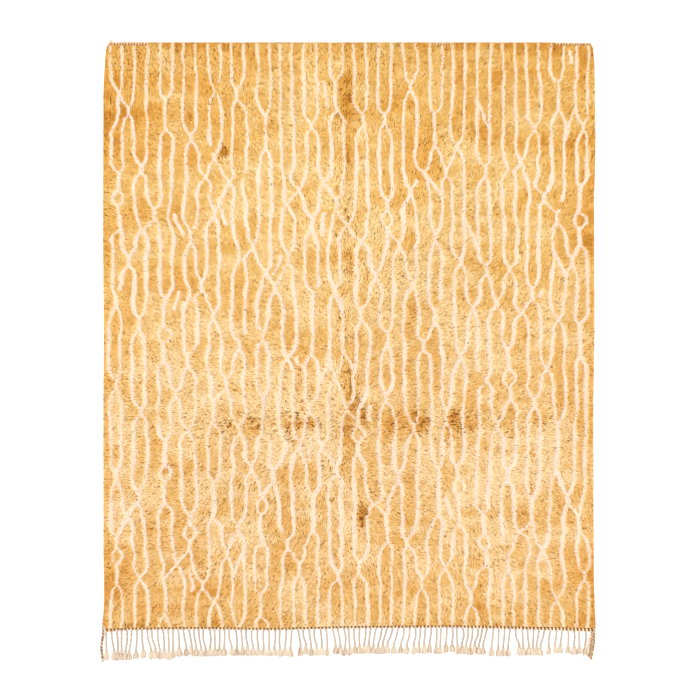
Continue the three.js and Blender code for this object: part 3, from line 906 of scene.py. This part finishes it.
def lock_colours(rng, places, shadow_locks):
    """The colour at each point of each lock, from its place, deeper where it is darker, with
    painted shade at its root and on one side, and some locks painted dark brown as the shadow in
    the partings.
    """
    x, y = places[..., 0], places[..., 1]
    colour = wool_colour(x, y, rng.normal(0, LINE_FUZZ, (len(places), 1)))
    pale = soft_step((colour[..., 2] - 0.3) / 0.15)
    many = len(places)
    shade = wool_shade(x[:, 1], y[:, 1]) * np.exp(rng.normal(0, 0.09, many))
    # painted shade: one side of each lock lighter, the other darker
    edges = LOCK_SHADES + rng.choice([-1, 1], (many, 1)) * LOCK_SIDE_SHADE
    shade = (shade[:, None] * edges) ** (1 - 0.92 * pale)
    colour = colour * shade[..., None] ** DEEPENING
    # painted shadow of the partings: these locks turn dark brown
    dark = PARTING_SHADOW_BROWN * (0.2 + 1.6 * rng.random((many, 1)) ** 2)
    return np.where(shadow_locks[:, None, None], dark[:, None, :], colour)


def pile_locks():
    """The pile, a joined mesh of locks for each panel of the rug from the foot up."""
    rng = draws(14)
    x, y = lock_roots(rng)
    order = np.argsort(y, kind="stable")
    x, y = x[order], y[order]
    many = len(x)
    angle = nap_angle(x, y) + rng.normal(0, 0.2 + 0.25 * crushed(x, y), many)
    long = rng.uniform(*LOCK_LONG, many)
    tip_x, tip_y = kept_in(x + np.cos(angle) * long, y + np.sin(angle) * long)
    ahead = np.stack([np.cos(angle), np.sin(angle), np.zeros(many)], -1)
    clump = noise(x, y, 0.022, 15) - 0.5
    grain = np.clip(on_figure(GRAIN, x, y), -2.5, 1.5)
    cream = on_figure(FAR, x, y) < 0
    open_ground = soft_step(on_figure(FAR, x, y) / 0.008)
    # painted shadow: some locks are coloured dark brown where the pile parts
    shadow_locks = rng.random(many) < shadow_lock_share(x, y) * (0.05 + 0.95 * open_ground)
    top = pile_height(x, y) - rim_fall(x, y)
    top = top + CLUMP_RELIEF * clump + GRAIN_RELIEF * grain + SHADOW_LOCK_LIFT * shadow_locks
    root = np.stack([x, y, top - LOCK_RISE], -1)
    tip = np.stack([tip_x, tip_y, top - rng.uniform(0.0005, 0.0035, many)], -1)
    crest = root + 0.45 * (tip - root)
    crest[:, 2] = top
    wide = LOCK_WIDE * rng.uniform(0.7, 1.3, many) * (1 + 0.7 * cream)
    places = np.stack([root, crest, tip, crest], 1)
    colours = lock_colours(rng, places, shadow_locks)
    cuts = np.linspace(0, many, PANELS + 1).astype(int)
    panels = []
    for k in range(PANELS):
        part = slice(cuts[k], cuts[k + 1])
        panels.append(lock_mesh(
            f"pile_locks_{k + 1}", root[part], crest[part], tip[part], ahead[part], wide[part],
            (1 - 0.65 * cream)[part], colours[part],
        ))
    return panels


RIM_PITCH = 0.0045
SIDE_LEVELS = (0.006, 0.0105, 0.015, 0.0185)
END_LEVELS = (0.0135, 0.0175)


def rim_locks():
    """The pile's edge: locks that stand out over the side cords and just over the bands."""
    rng = draws(17)
    starts, outs, reaches = [], [], []
    rows = np.arange(-HALF_LENGTH + 0.02, HALF_LENGTH - 0.012, RIM_PITCH)
    columns = np.arange(-HALF_WIDTH + 0.01, HALF_WIDTH - 0.01, RIM_PITCH)
    columns = columns[columns > left_side(HALF_LENGTH) + 0.008]
    columns = columns[columns < right_side(HALF_LENGTH) - 0.008]
    sides = [
        (left_side(rows) + LOCK_REACH, rows, (-1, 0), SIDE_LEVELS, LOCK_REACH),
        (right_side(rows) - LOCK_REACH, rows, (1, 0), SIDE_LEVELS, LOCK_REACH + 0.002),
        (columns, band_head(columns), (0, -1), END_LEVELS, 0.0015),
        (columns, UPPER_BAND_FOOT - BARE_PILE * bare(columns), (0, 1), END_LEVELS,
         0.0105 * (1 - 0.9 * bare(columns))),
    ]
    for x, y, out, heights, reach in sides:
        for z in heights:
            starts.append(np.stack([x, y, np.full(len(x), z)], -1))
            outs.append(np.tile([*out, 0.0], (len(x), 1)))
            reaches.append(np.broadcast_to(reach, len(x)))
    start, out, reach = np.concatenate(starts), np.concatenate(outs), np.concatenate(reaches)
    many = len(start)
    turn = rng.normal(0, 0.35, many)
    ahead = np.stack([
        out[:, 0] * np.cos(turn) - out[:, 1] * np.sin(turn),
        out[:, 0] * np.sin(turn) + out[:, 1] * np.cos(turn), np.zeros(many),
    ], -1)
    start[:, 2] += rng.normal(0, 0.001, many)
    tip = start + out * (reach * rng.uniform(0.75, 1.08, many))[:, None]
    tip[:, :2] += np.cross(ahead, out)[:, 2:] * np.array([[0.004, -0.004]]) * np.abs(out[:, 1::-1])
    tip[:, 2] = np.maximum(tip[:, 2] - rng.uniform(0.0015, 0.0045, many), 0.0005)
    root = start - out * 0.006
    crest = start + out * (0.45 * reach)[:, None]
    crest[:, 2] += 0.0012
    wide = LOCK_WIDE * rng.uniform(0.8, 1.3, many)
    # painted shadow: some rim locks are coloured dark brown
    shadow_locks = rng.random(many) < 0.06
    colours = lock_colours(rng, np.stack([root, crest, tip, crest], 1), shadow_locks)
    return lock_mesh("pile_rim", root, crest, tip, ahead, wide, np.ones(many), colours)


# The twined bands

STITCH_PAIR = 0.0187
UPPER_STITCH_PAIR = 0.0146
FRAYED_CORNER = [(-1.234, 1.472), (-1.229, 1.488), (-1.22, 1.5), (-1.206, 1.506)]


def ball_faces(around, rings):
    """Triangles of a closed ball: a pole, rings of points and a pole."""
    k = np.arange(around)
    after = (k + 1) % around
    start = np.stack([np.zeros(around, int), 1 + after, 1 + k], -1)
    last = 1 + (rings - 1) * around
    end = np.stack([np.full(around, last + around), last + k, last + after], -1)
    return np.concatenate([start, wall_faces(rings, around, 1), end])


def stitch(parts, centre, half, ahead, colour, around=8, rings=5):
    """A plump stitch: a ball stretched along ahead, half = its half length, width and height, with
    painted shade that darkens it toward its underside.
    """
    ahead = unit(np.asarray(ahead))
    aside = np.array([-ahead[1], ahead[0], 0])
    turn = np.pi * (np.arange(rings) + 1) / (rings + 1)
    angle = angles_round(around)
    reach = half[0] * np.cos(turn)[:, None, None] * ahead
    body = np.sin(turn)[:, None, None] ** 0.8 * (
        half[1] * np.cos(angle)[None, :, None] * aside
        + half[2] * np.sin(angle)[None, :, None] * np.array([0, 0, 1.0])
    )
    rim = (reach + body).reshape(-1, 3)
    points = np.concatenate([[half[0] * ahead], rim, [-half[0] * ahead]]) + centre
    # painted shade: lighter on top, darker underneath
    tone = 0.82 + 0.18 * (points[:, 2:3] - centre[2]) / half[2]
    parts.add(points, ball_faces(around, rings), colour * tone)


def twined_band(left, right, head, foot, levels, pair, lean, apart, brown, k):
    """A row of slanted stitches, brown ones nearer the pile and cream ones nearer the rim."""
    rng = draws(k)
    parts = Parts()
    low, high = levels
    count = 2 * int(round((right - left) / pair))
    pitch = (right - left) / count
    for place in range(count):
        x = left + (place + 0.5) * pitch + rng.normal(0, 0.0005)
        top, bottom = head(x), foot(x)
        wide = top - bottom
        inward = np.sign(-(top + bottom))
        shift = (apart if place % 2 else -apart) * wide * inward
        centre = np.array([x, (top + bottom) / 2 + shift + rng.normal(0, 0.0005), (low + high) / 2])
        slant = np.array([lean, wide, 0])
        half = (0.62 * wide, 0.58 * pitch, (high - low) / 2)
        colour = (brown if place % 2 else TWINE_CREAM) * rng.uniform(0.8, 1.15)
        stitch(parts, centre, half, slant, colour)
    return parts


# The fringe: roots in a row, and tips drawn together in bunches

TIP_LINE = -1.497
TUFT_LONG = 0.045
CORD_HALF = 0.006
CORD_PITCH = 0.0125
KNOT_RADIUS = 0.0036
KNOT_RINGS = 12
CORE_SIDES = 8
WISPS = 26
TAIL_WISPS = 18
FRAYED = 6
CORNER_FRAYED = 22

# Strand, x of its root, evenly spaced between
ROOTS = [(0, -1.241), (24, -0.609), (48, 0.086), (60, 0.422), (72, 0.738), (88, 1.211)]

# Strands in the bunch, middle of its tips, pitch of its tips, reach below the tip line
BUNCHES = [
    (1, -1.238, 0, 0.16), (5, -1.161, 0.0195, 0.162), (2, -1.069, 0.037, 0.154),
    (6, -0.954, 0.0224, 0.155), (2, -0.848, 0.036, 0.144), (8, -0.72, 0.0238, 0.142),
    (12, -0.448, 0.0273, 0.141), (6, -0.178, 0.0273, 0.139), (4, -0.031, 0.024, 0.134),
    (8, 0.115, 0.0238, 0.129), (1, 0.231, 0, 0.131), (2, 0.282, 0.031, 0.131),
    (3, 0.359, 0.0265, 0.13), (1, 0.414, 0, 0.123), (2, 0.458, 0.021, 0.126),
    (1, 0.497, 0, 0.123), (1, 0.528, 0, 0.121), (7, 0.622, 0.0219, 0.132),
    (1, 0.73, 0, 0.138), (3, 0.79, 0.025, 0.142), (2, 0.882, 0.021, 0.137),
    (4, 0.951, 0.02, 0.138), (1, 1.023, 0, 0.13), (2, 1.069, 0.028, 0.127),
    (1, 1.122, 0, 0.126), (3, 1.18, 0.028, 0.133),
]


def fringe_strands():
    """The root, the tip and the end of every strand."""
    strands = []
    for count, middle, pitch, reach in BUNCHES:
        for k in range(count):
            root = along(ROOTS, len(strands))
            strands.append((root, middle + (k - (count - 1) / 2) * pitch, TIP_LINE - reach))
    return strands


def tied(parts, points, swell, pitch, colours):
    """A knot: a thick turned cord that swells in its middle."""
    level = np.linspace(0.2, np.pi - 0.2, KNOT_RINGS)
    bulge = KNOT_RADIUS + swell * np.sin(level) ** 0.7
    twisted_cord(parts, smooth_path(points, KNOT_RINGS), bulge, pitch, colours, lobes=3, depth=0.16)


def wisp(parts, path, radius, colour, sides=3):
    """A tapering wisp of loose fibre."""
    side, up = path_frames(path)
    angle = angles_round(sides) + 0.5
    ring = np.asarray(radius)[:, None, None] * ring_of(angle, side, up)
    parts.sleeve(path[:, None, :] + ring, colour)


def tuft(parts, rng, knot, end, tip, spread, tone):
    """The loose end below a knot: a thin core with many wisps over it, uneven at the foot."""
    level = np.linspace(0, 1, 4)
    core = np.stack([
        np.full(4, tip), knot + 0.85 * (end - knot) * level, 0.0046 - 0.0012 * level,
    ], -1)
    angle = angles_round(CORE_SIDES)
    points = np.repeat(core[:, None, :], CORE_SIDES, axis=1)
    points[..., 0] += (spread * np.array([0.3, 0.68, 0.8, 0.78]))[:, None] * np.cos(angle)
    points[..., 2] += np.array([0.0034, 0.0028, 0.0022, 0.0012])[:, None] * np.sin(angle)
    points[-1, :, 1] += rng.uniform(-0.003, 0.003, CORE_SIDES)
    parts.add(points, sleeve_faces(4, CORE_SIDES), 0.92 * tone)
    brown = 0.3 if rng.random() < 0.4 else 0.1
    for k in range(WISPS):
        place = 2 * (k + 0.5) / WISPS - 1 + rng.uniform(-0.12, 0.12)
        last = end + rng.uniform(-0.006, 0.008) + 0.004 * place**2
        height = rng.uniform(0.0045, 0.0072)
        path = smooth_path([
            (tip + 0.26 * spread * place, knot + 0.001, 0.0065),
            (tip + 0.84 * spread * place + rng.normal(0, 0.0012), knot + 0.42 * (end - knot),
             height),
            (tip + spread * place + rng.normal(0, 0.002), last, 0.0032),
        ], 4)
        colour = tone * rng.uniform(0.78, 1.06)
        if rng.random() < brown:
            colour = 0.3 * tone + 0.7 * BROWN
        wisp(parts, path, [0.0013, 0.0016, 0.0014, 0.0006], colour)


def strand(parts, rng, root, tip, end):
    """A two-ply cord from under the band, an overhand knot and a loose tuft."""
    start = band_foot(root) + 0.004
    end = end + rng.normal(0, 0.0022)
    knot = end + TUFT_LONG * rng.uniform(0.92, 1.16)
    middle = (start + knot) / 2
    bow = rng.normal(0, 0.0035)
    line = smooth_path([
        (root, start, CORD_HALF),
        (root + 0.1 * (tip - root) + 0.6 * bow, start - 0.012, CORD_HALF),
        (root + 0.42 * (tip - root) + bow, middle, CORD_HALF),
        (root + 0.9 * (tip - root) + 0.3 * bow, knot + 0.016, CORD_HALF),
        (tip, knot + 0.004, CORD_HALF + 0.001),
    ], 40)
    tone = WARP_CREAM * rng.uniform(0.88, 1.0)
    shade = CORD_CREAM * rng.uniform(0.88, 1.0)
    twisted_cord(parts, line, CORD_HALF, CORD_PITCH, [shade, shade * 0.84])
    turned = [
        (tip, knot + 0.01, 0.006), (tip, knot + 0.003, 0.0075), (tip, knot - 0.003, 0.0075),
        (tip, knot - 0.009, 0.006),
    ]
    stained = rng.random() < 0.3
    knot_tone = 0.5 * (BROWN + tone) if stained else shade * 0.86
    tied(parts, turned, 0.0036, 0.016, [tone * 0.92, knot_tone])
    tuft(parts, rng, knot - 0.002, end, tip, rng.uniform(0.0125, 0.016), tone)


def frayed_threads(parts, rng):
    """Thin warp ends that have come apart beside the right tail."""
    for k in range(FRAYED):
        x = 1.204 + 0.0056 * k + rng.normal(0, 0.001)
        start = -1.56 - 0.02 * rng.random()
        path = smooth_path([
            (x + 0.012, start + 0.04, 0.004), (x + 0.006, start, 0.005),
            (x + rng.normal(0, 0.002), -1.6, 0.005),
            (x - 0.004, -1.638 + 0.008 * rng.random(), 0.003),
        ], 8)
        tone = THREAD_CREAM if k % 3 else 0.5 * (THREAD_CREAM + BROWN)
        wisp(parts, path, np.full(8, 0.0018), tone * rng.uniform(0.9, 1.1))


def warp_fringe():
    rng = draws(21)
    parts = Parts()
    for root, tip, end in fringe_strands():
        strand(parts, rng, root, tip, end)
    frayed_threads(parts, rng)
    return parts.piece("fringe_cords", WARP_WOOL, "warp", lift=0.5)


def frayed_corner(parts):
    """The cream end of the twining that frays out at the upper left corner."""
    rng = draws(45)
    for _ in range(CORNER_FRAYED):
        points = [
            (x + rng.normal(0, 0.002), y + rng.normal(0, 0.002), 0.0235) for x, y in FRAYED_CORNER
        ]
        colour = THREAD_CREAM * rng.uniform(0.85, 1.1)
        wisp(parts, smooth_path(points, 7), np.full(7, 0.0013), colour)


# The side cords and the loose tails: x, y

CORD_RADIUS = 0.0044
PLY_PITCH = 0.017
LEFT_TAIL = [
    (-1.255, -1.518), (-1.259, -1.548), (-1.264, -1.585), (-1.262, -1.622), (-1.259, -1.638),
]
RIGHT_TAIL = [(1.255, -1.522), (1.255, -1.555), (1.25, -1.59), (1.245, -1.622), (1.239, -1.642)]
TWINING_TAIL = [
    (1.2415, -1.5125), (1.2415, -1.55), (1.2365, -1.59), (1.2315, -1.622), (1.2255, -1.64),
]
LEFT_END = (-1.259, -1.671)
RIGHT_END = (1.244, -1.661)


def tail_knot(parts, rng, at, end, colours):
    """The knot at the end of a tail and the tuft below it."""
    (x, y), (ex, ey) = at, end
    turned = [(x, y + 0.007, 0.0075), (x, y, 0.0079), (x, y - 0.008, 0.0075)]
    tied(parts, turned, 0.004, 0.014, colours)
    for _ in range(TAIL_WISPS):
        spread = rng.uniform(-1, 1)
        path = smooth_path([
            (x + 0.002 * spread, y - 0.006, 0.005),
            ((x + ex) / 2 + 0.005 * spread, (y + ey) / 2, 0.0045),
            (ex + 0.008 * spread, ey + 0.006 * rng.random(), 0.003),
        ], 4)
        wisp(parts, path, [0.0018, 0.0022, 0.002, 0.0006], WARP_CREAM * rng.uniform(0.85, 1.05))


def side_cord(name, side, tail, end, colours, k):
    """The plied cord under the pile's edge with its tail, for the left (-1) or right (1) side."""
    rng = draws(k)
    parts = Parts()
    rows = np.linspace(UPPER_BAND_FOOT - 0.002, -HALF_LENGTH + 0.012, 60)
    edge = left_side(rows) if side < 0 else right_side(rows)
    inside = 0.0052 - 0.0062 * soft_step((-1.4 - rows) / 0.07)
    run = np.stack([edge - side * inside, rows], -1)
    points = np.concatenate([run, tail])
    loose = soft_step((-HALF_LENGTH + 0.012 - points[:, 1]) / 0.012)
    points = np.column_stack([points, 0.0048 + 0.0027 * loose])
    steps = int(6 * path_length(points)[-1] / PLY_PITCH)
    path = smooth_path(points, 4 * len(points))
    level = path_length(path)
    even = np.linspace(0, level[-1], steps)
    path = np.stack([np.interp(even, level, path[:, axis]) for axis in range(3)], -1)
    radius = CORD_RADIUS * (1 + 0.6 * soft_step((-HALF_LENGTH - path[:, 1]) / 0.02))
    plied_cord(parts, path, radius, PLY_PITCH, colours)
    tail_knot(parts, rng, tail[-1], end, [colours[0], colours[1] * 0.8])
    return parts.piece(name, TWINE_WOOL, "selvedge")


def twining_tail():
    parts = Parts()
    points = np.column_stack([TWINING_TAIL, np.full(len(TWINING_TAIL), 0.0064)])
    path = smooth_path(points, 70)
    plied_cord(parts, path, 1.35 * CORD_RADIUS, 0.9 * PLY_PITCH, [TAIL_BROWN, THREAD_CREAM])
    return parts.piece("twining_end", TWINE_WOOL, "twining")


# Camera, floor and light

METRES_PER_PIXEL = 0.0051
PICTURE_PIXELS = 700
CENTRE_PIXEL = (348.65, 336.0)
CAMERA_HEIGHT = 9.0
FLOOR_HALF = 40
FLOOR_Z = -0.001
WHITE = (1, 1, 1, 1)
# The floor glows a little, so that its shadows stay faint
FLOOR_LOOK = {
    "Base Color": (0.97, 0.97, 0.97, 1), "Emission Color": WHITE, "Emission Strength": 0.2,
}
SUN_STRENGTH = 1.75
SUN_SPREAD = 0.5
SUN_TURN = (-0.3, -0.12, 0)
SKY_STRENGTH = 0.82


def camera():
    data = bpy.data.cameras.new("camera")
    obj = linked("camera", data)
    middle = PICTURE_PIXELS / 2
    obj.location = (
        (middle - CENTRE_PIXEL[0]) * METRES_PER_PIXEL,
        (CENTRE_PIXEL[1] - middle) * METRES_PER_PIXEL,
        CAMERA_HEIGHT,
    )
    seen = METRES_PER_PIXEL * PICTURE_PIXELS
    data.lens = data.sensor_width * (CAMERA_HEIGHT - PILE_TOP) / seen
    data.clip_end = 100
    bpy.context.scene.camera = obj


def stage():
    mesh = bpy.data.meshes.new("floor")
    corners = [(-1, -1), (1, -1), (1, 1), (-1, 1)]
    points = [(x * FLOOR_HALF, y * FLOOR_HALF, FLOOR_Z) for x, y in corners]
    mesh.from_pydata(points, [], [(0, 1, 2, 3)])
    floor = linked("floor", mesh)
    mesh.materials.append(shaded("floor", FLOOR_LOOK)[0])
    floor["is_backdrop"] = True
    sun = bpy.data.lights.new("sun", "SUN")
    sun.energy = SUN_STRENGTH
    sun.angle = SUN_SPREAD
    linked("sun", sun).rotation_euler = SUN_TURN
    world = bpy.data.worlds.new("world")
    world.use_nodes = True
    sky = world.node_tree.nodes["Background"].inputs
    sky["Color"].default_value = WHITE
    sky["Strength"].default_value = SKY_STRENGTH
    scene = bpy.context.scene
    scene.world = world
    scene.view_settings.view_transform = "Standard"
    scene.view_settings.look = "None"


camera()
stage()
cloth = ground_cloth()
bed = pile_bed()
panels = [*pile_locks(), rim_locks()]
for pile in (bed, *panels):
    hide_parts("pile_field")
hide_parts("pile_field")

fringe = warp_fringe()
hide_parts("warp_fringe")
lower_parts = twined_band(
    left_side(-HALF_LENGTH) + LOCK_REACH, right_side(-HALF_LENGTH) - LOCK_REACH,
    band_head, band_foot, (0.0037, 0.0125), STITCH_PAIR, -0.006, 0.11, BROWN, 41,
)
lower_band = lower_parts.piece("lower_twining", TWINE_WOOL, "twining")
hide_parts("twined_band_lower")
upper_parts = twined_band(
    left_side(HALF_LENGTH) + 0.002, right_side(HALF_LENGTH) - 0.002,
    lambda x: HALF_LENGTH + 0.002 - 0.004 * soft_step((x - 0.95) / 0.25),
    lambda x: UPPER_BAND_FOOT - BARE_FOOT * bare(x), (0, 0.0175), UPPER_STITCH_PAIR, 0.007,
    0.06, TAIL_BROWN, 42,
)
frayed_corner(upper_parts)
upper_band = upper_parts.piece("upper_twining", TWINE_WOOL, "twining")
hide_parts("twined_band_upper")
left_cord = side_cord(
    "left_side_cord", -1, LEFT_TAIL, LEFT_END, [DARK_BROWN, THREAD_CREAM], 43,
)
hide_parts("selvedge_left")
right_cord = side_cord(
    "right_side_cord", 1, RIGHT_TAIL, RIGHT_END, [TAIL_BROWN, THREAD_CREAM], 44,
)
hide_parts("selvedge_right")
tail = twining_tail()
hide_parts("twining_tail")

visual_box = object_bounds()
boxes = {"cad": CAD_BOX, "visual": visual_box}
{name: [list(corner) for corner in box] for name, box in boxes.items()}
